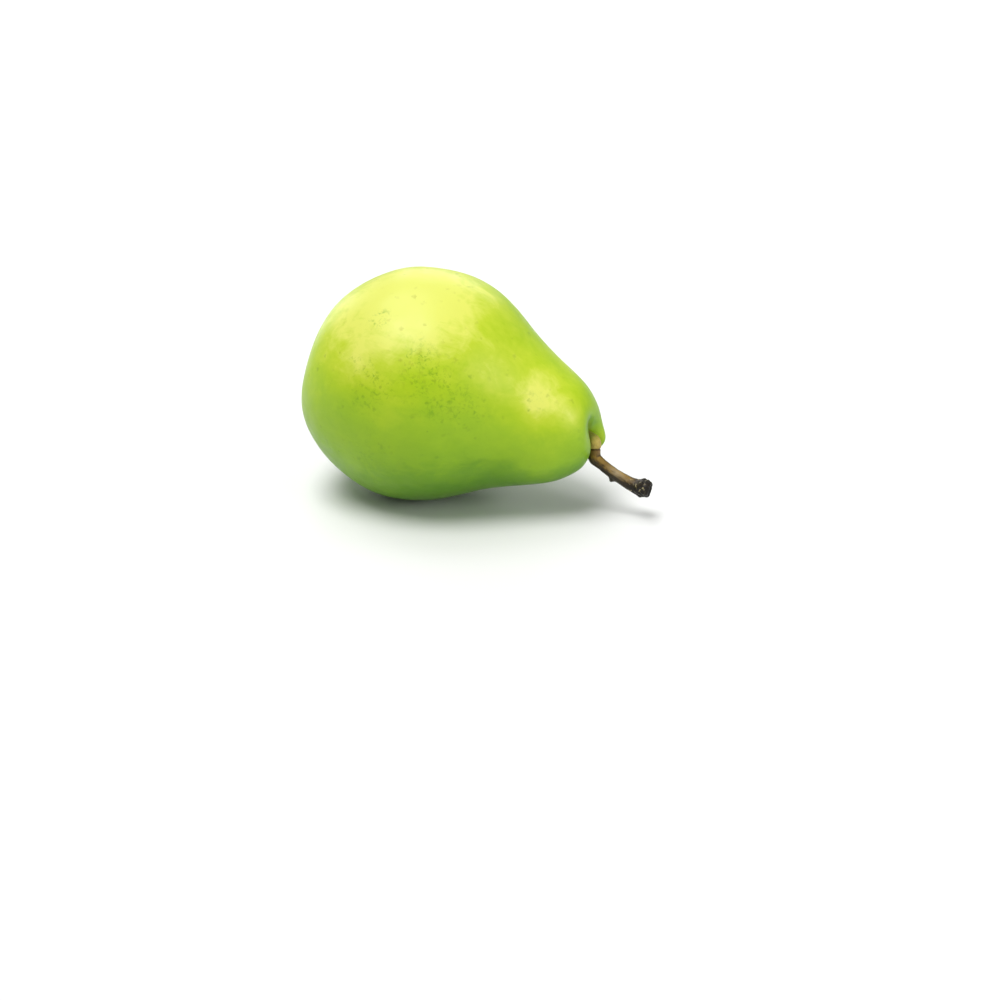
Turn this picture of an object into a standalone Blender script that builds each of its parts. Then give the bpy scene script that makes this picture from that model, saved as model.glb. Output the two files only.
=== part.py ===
"""A green pear lying on its side: the fruit, its stem and the dried calyx of the blossom end.

The pear is modelled standing, with its blossom end down and its stem end up, in millimetres.
An empty then lays it over towards +X, so the side that faced +X becomes the ground side.
The origin is on the ground straight under the fruit's centre of mass, on the flat spot it
rests on. +X runs along the pear towards the stem, and +Z is up.
"""

import math

import bmesh
import bpy
import numpy as np

MM = 0.001

# The fruit's outline: height up the axis, radius, and how far the middle of that level leans
# towards the ground side. It starts in the middle of the blossom-end basin.
FRUIT_OUTLINE = (
    (4.2, 0.0, 3.2),
    (3.1, 3.4, 3.2),
    (1.0, 6.8, 3.2),
    (0.0, 10.6, 3.2),
    (0.7, 16.0, 2.4),
    (4.1, 22.7, 1.4),
    (11.2, 29.3, 0.7),
    (20.0, 33.9, 0.0),
    (29.2, 36.1, 0.0),
    (38.4, 36.1, -0.5),
    (47.2, 34.0, -0.9),
    (55.2, 29.9, -1.1),
    (62.6, 25.3, -0.8),
    (70.0, 21.4, -0.3),
    (76.8, 18.3, 0.0),
    (82.4, 15.4, 0.1),
    (86.8, 11.6, 0.2),
    (89.8, 6.9, 0.4),
    (90.6, 0.0, 0.6),
)
FRUIT_SEGMENTS = 64
# Rings per span of the outline: (first span, last span, rings in each)
BASIN_RINGS = (0, 5, 3)
BELLY_RINGS = (5, 15, 2)
CROWN_RINGS = (15, 18, 5)

# Soft lobes: how many, how strong as a share of the radius, which height they are strongest at
BASE_LOBES = 5
BASE_LOBE_SHARE = 0.012
BASE_LOBE_HEIGHT = 3.0
BASE_LOBE_REACH = 12.0
BELLY_LOBES = 3
BELLY_LOBE_SHARE = 0.006

# The crown round the stem. y < 0 is the near lip, and y > 0 the far lobe, which stands higher.
# Both rise from CROWN_START up the axis, and have their full height from CROWN_FULL on.
# The near lip dips where the fold starts, and the fold leans towards it as it runs up.
CROWN_START = 60.0
CROWN_FULL = 82.0
NEAR_LIP_AT = (2.5, -5.5)
NEAR_LIP_RISE = 0.3
FAR_LOBE_AT = (1.5, 6.2)
FAR_LOBE_RISE = 2.4
LIP_SPREAD = 4.5
NEAR_DIP_AT = (-5.2, -2.8)
NEAR_DIP_DEPTH = 2.4
NEAR_DIP_SPREAD = 4.2
FOLD_Y = 0.8
FOLD_HALF_WIDTH = 1.3
FOLD_DEPTH = 1.9
FOLD_START_X = -10.0
FOLD_FULL_X = -2.0
FOLD_FADE_X = 2.0
FOLD_END_X = 8.0
FOLD_LEAN = 0.5
PIT_AT = (2.2, 0.8)
PIT_HALF_LENGTH = 6.2
PIT_HALF_WIDTH = 3.2
PIT_DEPTH = 4.0
PIT_WALL_POWER = 1.5
# How sharply the fold runs into the pit
MEETING_POWER = 3.0

# The stem's middle line as x, y, height, and its radius there
STEM_PATH = (
    (-1.5, 0.8, 89.3, 0.9),
    (-0.3, 0.8, 90.0, 1.4),
    (1.5, 0.8, 90.3, 1.65),
    (3.8, 0.7, 90.8, 1.4),
    (5.9, 0.5, 91.9, 1.75),
    (7.3, 0.3, 94.4, 1.75),
    (8.5, 0.0, 97.8, 1.75),
    (9.6, -0.2, 101.8, 1.9),
    (10.2, -0.4, 105.4, 2.2),
    (10.1, -0.5, 108.0, 2.8),
    (10.0, -0.6, 109.8, 2.6),
)
STEM_SIDES = 16
STEM_RINGS_PER_SPAN = 3
# How far the middle of each end stands out, as a share of the distance between rings
STEM_START_BULGE = 0.25
STEM_END_BULGE = 0.5
# Places along the stem are counted in spans of STEM_PATH.
BUD_STUB_SPAN = 6.2
BUD_STUB_RISE = 1.2
BUD_STUB_LENGTH = 0.35
BUD_STUB_NARROWNESS = 6
KNOB_SPAN = 8.3
KNOB_FULL_SPAN = 9.3
KNOB_LUMPS = 3
KNOB_LUMP_RISE = 0.25
KNOB_TURN = 1.0

# The dried calyx, a five-pointed star that lines the floor of the basin
SEPALS = 5
SEPAL_TIP_RADIUS = 5.4
SEPAL_NOTCH_RADIUS = 2.2
SEPAL_POINTEDNESS = 1.6
SEPAL_THICKNESS = 0.7
BASIN_SPANS = 3
BASIN_SAMPLES = 40
CALYX_GAP = 0.4
CALYX_SEGMENTS = 50
CALYX_RINGS = 6

# How it lies: the neck dips by REST_TILT, and the belly is flattened where it rests.
REST_TILT = math.radians(12.0)
FLAT_SPOT_DEPTH = 0.8
GROUND_BLOCK = (60.0, 60.0, 20.0)

SKIN_COLOUR = (0.45, 0.62, 0.06, 1.0)
STEM_COLOUR = (0.16, 0.09, 0.035, 1.0)
CALYX_COLOUR = (0.05, 0.032, 0.018, 1.0)


def clear_scene():
    for obj in list(bpy.data.objects):
        bpy.data.objects.remove(obj, do_unlink=True)


def make_material(name, colour, roughness):
    material = bpy.data.materials.new(name)
    material.use_nodes = True
    shader = material.node_tree.nodes["Principled BSDF"]
    shader.inputs["Base Color"].default_value = colour
    shader.inputs["Roughness"].default_value = roughness
    shader.inputs["Metallic"].default_value = 0.0
    material.diffuse_color = colour
    return material


def ease(x, low, high):
    """0 below low, 1 above high, and a smooth step between."""
    t = np.clip((x - low) / (high - low), 0.0, 1.0)
    return t * t * (3.0 - 2.0 * t)


def spline_controls(points, before, after, passes=40):
    """Control points of the smooth cubic B-spline that passes through points.
    before and after give the neighbour beyond each end, from the controls so far."""
    controls = points.copy()
    for _ in range(passes):
        padded = np.vstack([before(controls), controls, after(controls)])
        reached = (padded[:-2] + 4.0 * padded[1:-1] + padded[2:]) / 6.0
        controls += points - reached
    return np.vstack([before(controls), controls, after(controls)])


def spline_points(controls, where):
    """Points of the cubic B-spline at the parameters in where: 0 is its first point, 1 its second."""
    span = np.minimum(where.astype(int), len(controls) - 4)
    t = (where - span)[:, None]
    weights = (
        (1.0 - t) ** 3,
        3.0 * t**3 - 6.0 * t**2 + 4.0,
        -3.0 * t**3 + 3.0 * t**2 + 3.0 * t + 1.0,
        t**3,
    )
    return sum(weight * controls[span + i] for i, weight in enumerate(weights)) / 6.0


def fruit_outline(where):
    """Height, radius and lean of the fruit's outline at the parameters in where."""
    points = np.array(FRUIT_OUTLINE)
    across_axis = np.array([1.0, -1.0, 1.0])
    controls = spline_controls(
        points,
        before=lambda c: c[1] * across_axis,
        after=lambda c: c[-2] * across_axis,
    )
    return spline_points(controls, where)


def lobing(height, angle):
    """The share by which the soft lobes swell the radius at this height and angle."""
    near_base = np.exp(-(((height - BASE_LOBE_HEIGHT) / BASE_LOBE_REACH) ** 2))
    base = BASE_LOBE_SHARE * near_base * np.cos(BASE_LOBES * angle)
    belly = BELLY_LOBE_SHARE * (1.0 - near_base) * np.cos(BELLY_LOBES * angle)
    return base + belly


def round_hump(x, y, middle, spread):
    """A smooth round hump of height 1 over middle."""
    away = np.hypot(x - middle[0], y - middle[1]) / spread
    return np.exp(-(away**2))


def crown_rise(x, y):
    """How far the crown is raised or sunk, in mm: the two lips, the dip, the fold and the pit."""
    near_lip = NEAR_LIP_RISE * round_hump(x, y, NEAR_LIP_AT, LIP_SPREAD)
    far_lobe = FAR_LOBE_RISE * round_hump(x, y, FAR_LOBE_AT, LIP_SPREAD)
    dip = NEAR_DIP_DEPTH * round_hump(x, y, NEAR_DIP_AT, NEAR_DIP_SPREAD)
    fold_y = FOLD_Y + FOLD_LEAN * np.minimum(x - FOLD_FULL_X, 0.0)
    across = np.exp(-(((y - fold_y) / FOLD_HALF_WIDTH) ** 2))
    along = ease(x, FOLD_START_X, FOLD_FULL_X) * (1.0 - ease(x, FOLD_FADE_X, FOLD_END_X))
    fold = FOLD_DEPTH * across * along
    oval = ((x - PIT_AT[0]) / PIT_HALF_LENGTH) ** 2 + ((y - PIT_AT[1]) / PIT_HALF_WIDTH) ** 2
    pit = PIT_DEPTH * np.exp(-(oval**PIT_WALL_POWER))
    sunk = (fold**MEETING_POWER + pit**MEETING_POWER) ** (1.0 / MEETING_POWER)
    return near_lip + far_lobe - dip - sunk


def fruit_surface(where, angle):
    """Points of the fruit's skin, in mm, for a grid of outline parameters and angles."""
    height, radius, lean = (row[:, None] for row in fruit_outline(where).T)
    radius = radius * (1.0 + lobing(height, angle[None, :]))
    x = radius * np.cos(angle)
    y = radius * np.sin(angle)
    on_crown = ease(height, CROWN_START, CROWN_FULL)
    z = height + on_crown * crown_rise(x, y)
    return np.stack([x + lean, y, z], axis=-1)


def ring_parameters():
    """Where the rings lie along the outline: close together in the basin and on the crown."""
    spans = []
    for first, last, per_span in (BASIN_RINGS, BELLY_RINGS, CROWN_RINGS):
        count = (last - first) * per_span
        spans.append(np.linspace(first, last, count, endpoint=False))
    last_span = CROWN_RINGS[1]
    return np.append(np.concatenate(spans), last_span)


def build_tube(grid, start_tip, end_tip):
    """A closed mesh over a grid of rings, closed by a fan to a tip point at each end."""
    rings, sides = grid.shape[:2]
    bm = bmesh.new()
    verts = [[bm.verts.new(point * MM) for point in ring] for ring in grid]
    first = bm.verts.new(start_tip * MM)
    last = bm.verts.new(end_tip * MM)
    for j in range(sides):
        k = (j + 1) % sides
        bm.faces.new((first, verts[0][k], verts[0][j]))
        bm.faces.new((last, verts[-1][j], verts[-1][k]))
        for i in range(rings - 1):
            bm.faces.new((verts[i][j], verts[i][k], verts[i + 1][k], verts[i + 1][j]))
    bmesh.ops.recalc_face_normals(bm, faces=bm.faces)
    return bm


def add_object(name, bm, material, parent):
    mesh = bpy.data.meshes.new(name)
    bm.to_mesh(mesh)
    bm.free()
    mesh.shade_smooth()
    obj = bpy.data.objects.new(name, mesh)
    bpy.context.scene.collection.objects.link(obj)
    obj.data.materials.append(material)
    obj.parent = parent
    return obj


def make_fruit(parent):
    angle = np.linspace(0.0, 2.0 * math.pi, FRUIT_SEGMENTS, endpoint=False)
    grid = fruit_surface(ring_parameters(), angle)
    bm = build_tube(grid[1:-1], grid[0].mean(axis=0), grid[-1].mean(axis=0))
    return add_object("fruit", bm, make_material("skin", SKIN_COLOUR, 0.42), parent)


def stem_line(where):
    """x, y, height and radius of the stem at the parameters in where."""
    controls = spline_controls(
        np.array(STEM_PATH),
        before=lambda c: 2.0 * c[0] - c[1],
        after=lambda c: 2.0 * c[-1] - c[-2],
    )
    return spline_points(controls, where)


def stem_surface(where, around):
    """Rings of points round the stem, with the bud stub and the lumps of its broken end."""
    line = stem_line(where)
    tangent = np.gradient(line[:, :3], axis=0)
    tangent /= np.linalg.norm(tangent, axis=1, keepdims=True)
    sideways = np.array([0.0, 1.0, 0.0]) - tangent * tangent[:, 1:2]
    sideways /= np.linalg.norm(sideways, axis=1, keepdims=True)
    towards_ground = np.cross(sideways, tangent)
    stub = np.exp(-(((where - BUD_STUB_SPAN) / BUD_STUB_LENGTH) ** 2))[:, None]
    facing_ground = np.clip(np.cos(around), 0.0, 1.0) ** BUD_STUB_NARROWNESS
    knob = ease(where, KNOB_SPAN, KNOB_FULL_SPAN)[:, None]
    radius = line[:, 3:4] + BUD_STUB_RISE * stub * facing_ground
    radius = radius + KNOB_LUMP_RISE * knob * np.cos(KNOB_LUMPS * around + KNOB_TURN)
    ring = radius[..., None] * (
        np.cos(around)[None, :, None] * towards_ground[:, None]
        + np.sin(around)[None, :, None] * sideways[:, None]
    )
    return line[:, None, :3] + ring, line[:, :3]


def make_stem(parent):
    around = np.linspace(0.0, 2.0 * math.pi, STEM_SIDES, endpoint=False)
    last = len(STEM_PATH) - 1
    where = np.linspace(0.0, last, last * STEM_RINGS_PER_SPAN + 1)
    grid, middle = stem_surface(where, around)
    start_tip = middle[0] + STEM_START_BULGE * (middle[0] - middle[1])
    end_tip = middle[-1] + STEM_END_BULGE * (middle[-1] - middle[-2])
    bm = build_tube(grid, start_tip, end_tip)
    return add_object("stem", bm, make_material("stem", STEM_COLOUR, 0.5), parent)


def basin_floor(radius):
    """Height of the basin's floor at this distance from its middle."""
    outline = fruit_outline(np.linspace(0.0, BASIN_SPANS, BASIN_SAMPLES))
    return np.interp(radius, outline[:, 1], outline[:, 0])


def make_calyx(parent):
    """A star-shaped dish just under the basin's floor, which is its upper side when standing."""
    angle = np.linspace(0.0, 2.0 * math.pi, CALYX_SEGMENTS, endpoint=False)
    point = (0.5 + 0.5 * np.cos(SEPALS * angle)) ** SEPAL_POINTEDNESS
    edge = SEPAL_NOTCH_RADIUS + (SEPAL_TIP_RADIUS - SEPAL_NOTCH_RADIUS) * point
    share = np.linspace(0.0, 1.0, CALYX_RINGS + 1)[1:]
    radius = share[:, None] * edge[None, :]
    lean = FRUIT_OUTLINE[0][2]
    x = radius * np.cos(angle) + lean
    y = radius * np.sin(angle)
    upper = basin_floor(radius) - CALYX_GAP
    lower = upper - SEPAL_THICKNESS
    rings = [np.stack([x, y, upper], axis=-1), np.stack([x, y, lower], axis=-1)[::-1]]
    middle = np.array([lean, 0.0, FRUIT_OUTLINE[0][0] - CALYX_GAP])
    bm = build_tube(np.concatenate(rings), middle, middle - (0.0, 0.0, SEPAL_THICKNESS))
    return add_object("calyx", bm, make_material("calyx", CALYX_COLOUR, 0.9), parent)


def centre_of_mass(points, triangles):
    """The centre of the solid that the triangles close, as the tetrahedra they make with the
    origin give it."""
    a, b, c = (points[triangles[:, i]] for i in range(3))
    volume = np.einsum("ij,ij->i", a, np.cross(b, c)) / 6.0
    middle = (a + b + c) / 4.0
    return (middle * volume[:, None]).sum(axis=0) / volume.sum()


def mesh_arrays(mesh):
    mesh.calc_loop_triangles()
    points = np.array([vert.co for vert in mesh.vertices])
    triangles = np.array([tri.vertices for tri in mesh.loop_triangles])
    return points, triangles


def lay_down(pear, fruit):
    """Tips the pear over towards +X and sets the origin under its centre of mass."""
    pear.rotation_euler = (0.0, math.radians(90.0) + REST_TILT, 0.0)
    turn = np.array(pear.rotation_euler.to_matrix())
    points, triangles = mesh_arrays(fruit.data)
    points = points @ turn.T
    centre = centre_of_mass(points, triangles)
    lowest = points[:, 2].min()
    pear.location = (-centre[0], -centre[1], -lowest - FLAT_SPOT_DEPTH * MM)


def flatten_where_it_rests(fruit):
    """Takes off what would reach below the ground, which leaves the flat spot."""
    bm = bmesh.new()
    bmesh.ops.create_cube(bm, size=1.0)
    bmesh.ops.scale(bm, vec=[side * MM for side in GROUND_BLOCK], verts=bm.verts)
    bmesh.ops.translate(bm, vec=(0.0, 0.0, -GROUND_BLOCK[2] * MM / 2.0), verts=bm.verts)
    block = add_object("ground_block", bm, fruit.data.materials[0], None)
    block.hide_render = True
    block.display_type = "WIRE"
    cut = fruit.modifiers.new("flat spot", "BOOLEAN")
    cut.operation = "DIFFERENCE"
    cut.object = block


def main():
    clear_scene()
    pear = bpy.data.objects.new("pear", None)
    bpy.context.scene.collection.objects.link(pear)
    fruit = make_fruit(pear)
    make_stem(pear)
    make_calyx(pear)
    lay_down(pear, fruit)
    flatten_where_it_rests(fruit)


main()
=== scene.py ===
"""The pear's looks: fine skin, woody stem and dried calyx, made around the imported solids.

Shapes are worked out as the pear stands, blossom end down, in millimetres, with the same formulas
as the CAD, and then laid down in the frame's metres. While it stands, x points to the side that will
be on the ground and z to the stem. Angles round it start at the ground side, and -90 degrees is the
near side.
"""

import math

import bpy
import numpy as np
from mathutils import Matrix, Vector, noise


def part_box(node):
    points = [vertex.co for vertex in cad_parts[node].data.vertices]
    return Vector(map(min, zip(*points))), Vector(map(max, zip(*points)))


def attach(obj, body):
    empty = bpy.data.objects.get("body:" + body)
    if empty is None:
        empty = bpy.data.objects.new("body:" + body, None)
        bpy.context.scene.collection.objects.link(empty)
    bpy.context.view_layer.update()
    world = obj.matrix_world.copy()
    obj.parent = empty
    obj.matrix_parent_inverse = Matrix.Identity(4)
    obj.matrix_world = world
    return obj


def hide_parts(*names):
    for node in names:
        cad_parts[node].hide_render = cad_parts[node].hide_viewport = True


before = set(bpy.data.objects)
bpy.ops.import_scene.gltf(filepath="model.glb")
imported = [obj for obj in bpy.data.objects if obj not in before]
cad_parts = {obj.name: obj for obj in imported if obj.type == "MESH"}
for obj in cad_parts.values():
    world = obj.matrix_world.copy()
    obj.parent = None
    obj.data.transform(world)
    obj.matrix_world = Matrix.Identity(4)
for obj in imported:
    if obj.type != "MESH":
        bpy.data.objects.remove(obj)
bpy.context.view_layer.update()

MM = 0.001
SEED = 7

# --- The fruit, with the CAD's own values -------------------------------------------------------
# Height up the axis, radius, and how far the middle of that level leans towards the ground side
FRUIT_OUTLINE = (
    (4.2, 0.0, 3.2),
    (3.1, 3.4, 3.2),
    (1.0, 6.8, 3.2),
    (0.0, 10.6, 3.2),
    (0.7, 16.0, 2.4),
    (4.1, 22.7, 1.4),
    (11.2, 29.3, 0.7),
    (20.0, 33.9, 0.0),
    (29.2, 36.1, 0.0),
    (38.4, 36.1, -0.5),
    (47.2, 34.0, -0.9),
    (55.2, 29.9, -1.1),
    (62.6, 25.3, -0.8),
    (70.0, 21.4, -0.3),
    (76.8, 18.3, 0.0),
    (82.4, 15.4, 0.1),
    (86.8, 11.6, 0.2),
    (89.8, 6.9, 0.4),
    (90.6, 0.0, 0.6),
)
FRUIT_LAST_SPAN = len(FRUIT_OUTLINE) - 1
# Soft lobes round the base and the belly, as shares of the radius
BASE_LOBES = 5
BASE_LOBE_SHARE = 0.012
BASE_LOBE_HEIGHT = 3.0
BASE_LOBE_REACH = 12.0
BELLY_LOBES = 3
BELLY_LOBE_SHARE = 0.006
# The crown round the stem: the near lip (y < 0), its dip, the far lobe, the fold between, and the pit
CROWN_START = 60.0
CROWN_FULL = 82.0
NEAR_LIP_AT = (2.5, -5.5)
NEAR_LIP_RISE = 0.3
FAR_LOBE_AT = (1.5, 6.2)
FAR_LOBE_RISE = 2.4
LIP_SPREAD = 4.5
NEAR_DIP_AT = (-5.2, -2.8)
NEAR_DIP_DEPTH = 2.4
NEAR_DIP_SPREAD = 4.2
FOLD_Y = 0.8
FOLD_HALF_WIDTH = 1.3
FOLD_DEPTH = 1.9
FOLD_START_X = -10.0
FOLD_FULL_X = -2.0
FOLD_FADE_X = 2.0
FOLD_END_X = 8.0
FOLD_LEAN = 0.5
PIT_AT = (2.2, 0.8)
PIT_HALF_LENGTH = 6.2
PIT_HALF_WIDTH = 3.2
PIT_DEPTH = 4.0
PIT_WALL_POWER = 1.5
MEETING_POWER = 3.0
REST_TILT = math.radians(12.0)

# --- The skin's fine shape ----------------------------------------------------------------------
SKIN_SEGMENTS = 300
# Rings per span of the outline: (first span, last span, rings in each)
SKIN_RINGS = ((0, 5, 16), (5, 15, 14), (15, 18, 28))
# Shallow unevenness of the flesh: size of its swells and how far they stand out, in mm
LUMPS = ((26.0, 0.30), (11.0, 0.10), (4.5, 0.022))
# They fade out between these heights, where the CAD's own shape has to clear the stem
LUMPS_FADE = (84.0, 89.0)
# Fine folds that run into the blossom-end basin, which lies below BASIN_TOP
BASIN_TOP = 10.0
BASIN_PUCKERS = 15
BASIN_PUCKER_SWAY = 2.0
BASIN_PUCKER_RISE = 0.16
BASIN_PUCKER_AT = 6.0
BASIN_PUCKER_REACH = 4.0
# Distances from the basin's middle between which its russet grows to its full strength
BASIN_RUSSET = (16.0, 5.0)
# Only skin above this height can be in the stem's pit
PIT_LOWEST = 80.0
# How much the skin's grain is drawn out along the pear
SKIN_GRAIN_STRETCH = 0.3
# Rounding, in mm, of the edge of the flat spot
REST_SOFTNESS = 0.12
# The basin's spans of the outline, and how finely the outline is sampled where it is looked up
BASIN_SPANS = 3
BASIN_SAMPLES = 40
OUTLINE_SAMPLES = 400
# How far, as a share of their reach, soft spots on the skin stray from round, and over what size
SPOT_WANDER = 0.35
SPOT_WANDER_SIZE = 9.0
# The grid that the pear's place is worked out on
PLACE_RINGS = 361
PLACE_SIDES = 240

# --- The stem -----------------------------------------------------------------------------------
# x, y, height and radius along its middle line. It follows the CAD's stem, and adds the root that is
# sunk in the flesh.
STEM_PATH = (
    (-0.6, 0.9, 84.6, 1.2),
    (-0.4, 0.9, 87.0, 1.5),
    (0.3, 0.8, 89.1, 1.75),
    (1.7, 0.8, 90.5, 1.75),
    (3.6, 0.7, 91.1, 1.5),
    (5.9, 0.5, 91.9, 1.75),
    (7.3, 0.3, 94.4, 1.75),
    (8.5, 0.0, 97.8, 1.75),
    (9.6, -0.2, 101.8, 1.9),
    (10.2, -0.4, 105.4, 2.2),
    (10.1, -0.5, 108.0, 2.8),
    (10.0, -0.6, 109.8, 2.6),
)
STEM_LAST_SPAN = len(STEM_PATH) - 1
STEM_SIDES = 72
STEM_RINGS = 300
# Places along the stem are counted in spans of STEM_PATH.
CREASE_SPAN = 3.7
CREASE_LENGTH = 0.12
CREASE_DEPTH = 0.28
KNUCKLE_SPAN = 2.6
KNUCKLE_LENGTH = 0.8
KNUCKLE_RISE = 0.22
HEEL_SPAN = 4.8
HEEL_LENGTH = 0.55
HEEL_RISE = 0.7
BUD_STUB_SPAN = 7.25
BUD_STUB_LENGTH = 0.2
BUD_STUB_RISE = 1.15
BUD_STUB_NARROWNESS = 14
KNOB_SPAN = 8.8
KNOB_FULL_SPAN = 10.0
KNOB_LUMP_SIZE = 1.9
KNOB_LUMP_RISE = 0.55
KNOB_LUMP_SINK = 0.45
WOODY_SPANS = (4.3, 5.0)
BARK_RIDGE_DENSITY = 3.0
BARK_RIDGE_STEP = 0.5
BARK_RIDGE_TWIST = 0.25
BARK_RIDGE_RISE = 0.07
BARK_GRAIN_SIZE = 1.4
BARK_GRAIN_RISE = 0.08
# How much the stem's grain is drawn out along it
STEM_GRAIN_STEP = 0.9
# The broken end turns in over a rounded edge to a rough hollow. Shares count from its edge, 0, to its
# middle, 1.
END_RINGS = 14
END_SPAN = STEM_LAST_SPAN + 0.3
END_CLOSED_SHARE = 0.96
END_TURN_POWER = 1.6
END_EDGE_RISE = 0.7
END_EDGE_STEEPNESS = 1.5
END_HOLLOW = 0.9
END_HOLLOW_SHARES = (0.35, 0.9)
END_ROUGHNESS = 0.35
END_ROUGH_SIZE = 0.9
END_ROUGH_SHARES = (0.1, 0.5)

# --- The dried calyx in the basin ---------------------------------------------------------------
SEPALS = 5
SEPAL_LENGTH = 5.2
SEPAL_WIDTH = 2.3
SEPAL_THICKNESS = 0.34
SEPAL_CLEARANCE = 0.45
SEPAL_CURL_START = 0.4
SEPAL_CURL_BACK = 1.6
SEPAL_CURL_LIFT = 1.7
SEPAL_ROOT = 1.33
SEPAL_RINGS = 36
SEPAL_SIDES = 20
SEPAL_CUPPING = 0.35
SEPAL_CRINKLE_SIZE = 1.1
SEPAL_CRINKLE_DEPTH = 0.18
SEPAL_CRINKLE_SHIFT = 0.15
# How much the sepals differ from each other
SEPAL_CURL_SPREAD = 0.5
SEPAL_TURN_SPREAD = 0.25
SEPAL_LENGTH_SPREAD = 0.15
CUP_RADIUS = 1.9
CUP_SIDES = 60
CUP_RINGS = 40
CUP_FLOOR = 3.5
# The cup's section, from the middle of its flesh side out over its wall and back in: distance from its
# axis, and height
CUP_SECTION = (
    (0.3, 0.2),
    (1.14, 0.15),
    (1.9, 0.0),
    (2.05, -0.6),
    (1.95, -1.5),
    (1.7, -1.6),
    (1.4, -1.35),
    (1.3, -0.8),
    (0.4, -0.6),
)
CUP_SWELL_BY_SEPAL = 0.1
CUP_NOTCHES = 11
CUP_NOTCH_DEPTH = 0.06
CUP_ROUGHNESS = 0.12
CUP_ROUGH_SIZE = 0.8
CUP_TONE_HEIGHT = 2.0
STAMENS = 14
STAMEN_SIDES = 8
STAMEN_RINGS = 26
STAMEN_RADIUS = 0.13
STAMEN_INSET = 0.35
STAMEN_FLOOR = 3.7
STAMEN_START = 1.0
STAMEN_LENGTH = 2.2
STAMEN_DROOP = 0.25
STAMEN_LEAN_IN = 0.6
STAMEN_KNOB_AT = 0.93
STAMEN_KNOB_LENGTH = 0.06
STAMEN_KNOB_SWELL = 1.3
# How much the stamens differ from each other
STAMEN_TURN_SPREAD = 0.4
STAMEN_LEAN_SPREAD = 0.8
STAMEN_LENGTH_SPREAD = 0.7
STAMEN_SWING = 0.5

# --- Colours, linear ----------------------------------------------------------------------------
# The side that ripened in the sun, which is also where the key light falls, so the colour it drives
# carries a painted highlight and, away from it, painted shade: azimuth and elevation
SUN_AND_LIGHT_SIDE = (-4.0, 61.0)
# The skin's colour from -1 to 1, by how ripe it is and by painted light: the top tone is paled by a
# painted highlight, and the lowest tones are darkened by painted shade
SKIN_TONES = (
    (-0.60, (0.10, 0.26, 0.002, 1.0)),
    (-0.15, (0.165, 0.35, 0.003, 1.0)),
    (0.10, (0.26, 0.47, 0.005, 1.0)),
    (0.40, (0.33, 0.54, 0.007, 1.0)),
    (0.62, (0.43, 0.61, 0.012, 1.0)),
    (0.80, (0.54, 0.67, 0.033, 1.0)),
    (1.00, (0.75, 0.79, 0.135, 1.0)),
)
SKIN_SHADE = (0.165, 0.365, 0.004, 1.0)
SPECK_GREEN = (0.16, 0.33, 0.004, 1.0)
# SPECK_GOLD is the specks' colour on the lit top, paled by the painted highlight
SPECK_GOLD = (0.46, 0.47, 0.030, 1.0)
RUSSET = (0.30, 0.20, 0.045, 1.0)
STEM_TAN = (0.56, 0.43, 0.085, 1.0)
STEM_OLIVE = (0.26, 0.27, 0.030, 1.0)
STEM_CREASE = (0.070, 0.034, 0.004, 1.0)
STEM_GOLD = (0.46, 0.28, 0.040, 1.0)
STEM_BROWN = (0.26, 0.155, 0.034, 1.0)
STEM_MAUVE = (0.44, 0.33, 0.17, 1.0)
STEM_DARK = (0.050, 0.030, 0.010, 1.0)
STEM_BLACK = (0.008, 0.006, 0.003, 1.0)
STEM_FLECK = (0.66, 0.56, 0.30, 1.0)
CALYX_BROWN = (0.11, 0.060, 0.026, 1.0)
CALYX_DARK = (0.022, 0.014, 0.009, 1.0)
CALYX_TIP = (0.26, 0.19, 0.11, 1.0)

# The calyx's colours, from its dark root to its pale tip
CALYX_TONES = (
    (0.13, CALYX_DARK),
    (0.40, CALYX_BROWN),
    (0.67, CALYX_BROWN),
    (0.90, CALYX_TIP),
)
# The side of the stem that faces the light: the bark is painted lit there and painted in dark shade away
# from it. Azimuth and elevation
STEM_LIT_SIDE = (4.0, 62.0)
# The bark's colours by span
STEM_TONES = (
    (1.8, STEM_OLIVE),
    (2.5, STEM_TAN),
    (3.45, STEM_TAN),
    (3.7, STEM_CREASE),
    (3.95, STEM_BROWN),
    (4.8, STEM_GOLD),
    (6.3, STEM_BROWN),
    (7.3, STEM_MAUVE),
    (8.3, STEM_BROWN),
    (9.0, STEM_DARK),
    (10.0, STEM_BLACK),
)
# Patches of skin that are yellower (strength over 0) or greener: height, angle in degrees, reach,
# strength. Most are the skin's own tone; the last three are painted light and painted shade.
SKIN_AND_LIGHT_PATCHES = (
    (29.0, -146.0, 20.0, 0.14),
    (73.0, -134.0, 6.5, 0.40),
    (60.0, -134.0, 7.0, 0.14),
    (38.0, -120.0, 6.0, -0.10),
    (19.0, -113.0, 6.0, 0.12),
    (20.0, -92.0, 9.0, -0.12),
    (46.0, -98.0, 12.0, -0.06),
    (80.0, -64.0, 7.0, 0.22),
    (84.0, -130.0, 5.0, 0.26),
    (30.0, 172.0, 16.0, 0.16),
    (47.0, 112.0, 15.0, 0.24),
    (72.0, 140.0, 9.0, 0.28),
    (26.0, 84.0, 10.0, -0.12),
    (58.0, 62.0, 8.0, 0.16),
    # painted light: lightens the far lobe by the stem, which lies in shade
    (89.5, 85.0, 5.0, 0.40),
    # painted shade: this and the next darken the lower near side
    (52.0, -34.0, 14.0, -0.30),
    (65.0, -46.0, 9.0, -0.26),
)
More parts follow.
